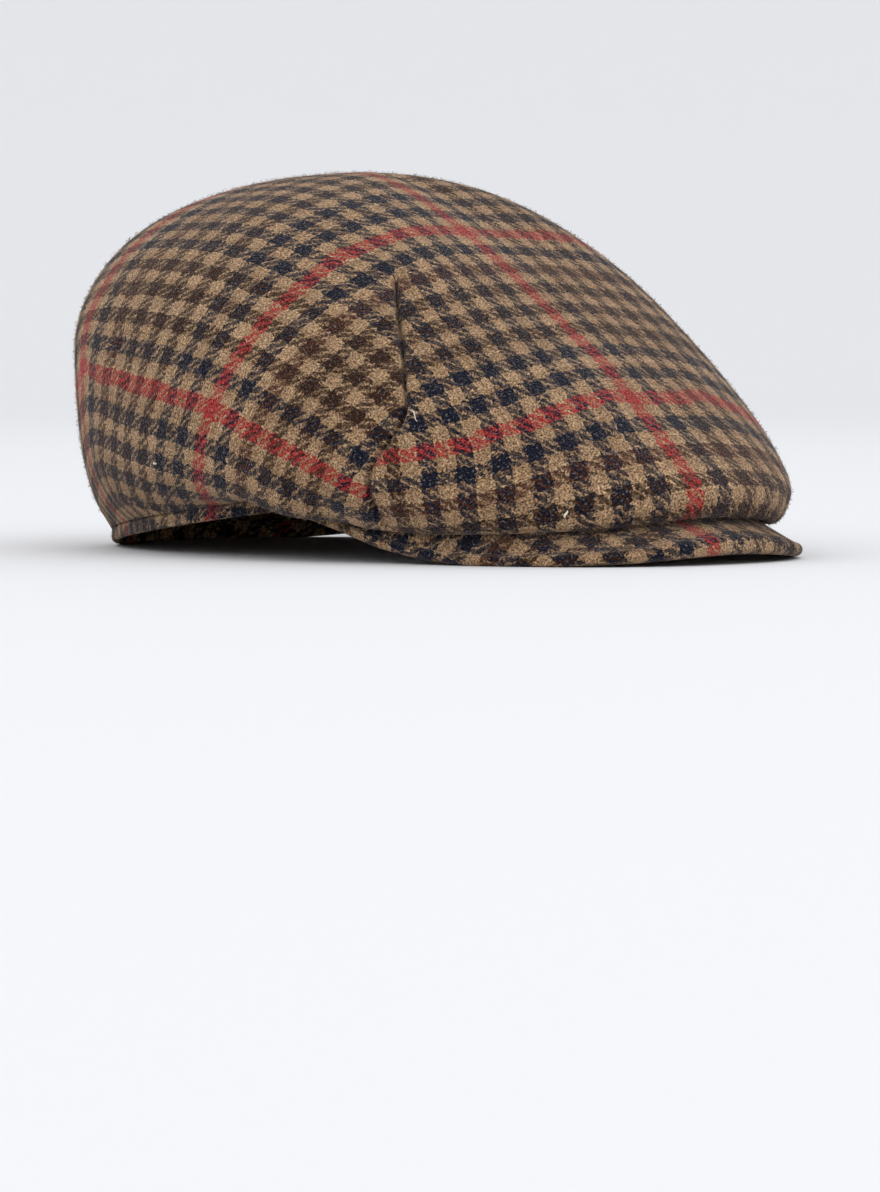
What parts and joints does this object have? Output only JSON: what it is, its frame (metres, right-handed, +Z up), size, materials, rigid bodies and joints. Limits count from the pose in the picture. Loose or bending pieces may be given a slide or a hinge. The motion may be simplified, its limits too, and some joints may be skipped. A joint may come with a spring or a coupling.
{
  "type": "flat cap",
  "caption": "Soft tweed flat cap: a one-piece rounded crown with side darts, folded forward over a short curved peak, with a narrow turned hem round the head opening.",
  "frame": {"origin": "bottom centre of the cap's box, on the surface that it rests on", "axes": "+Z up, -Y toward the front of the peak, +Y toward the back, +X toward the wearer's left"},
  "size_m": [0.205, 0.2668, 0.1255],
  "materials": {
    "tweed": "napped wool tweed in a dark and tan check with a red overcheck"
  },
  "bodies": {
    "root": {"crown": "tweed", "peak": "tweed", "hem_band": "tweed"}
  },
  "joints": []
}
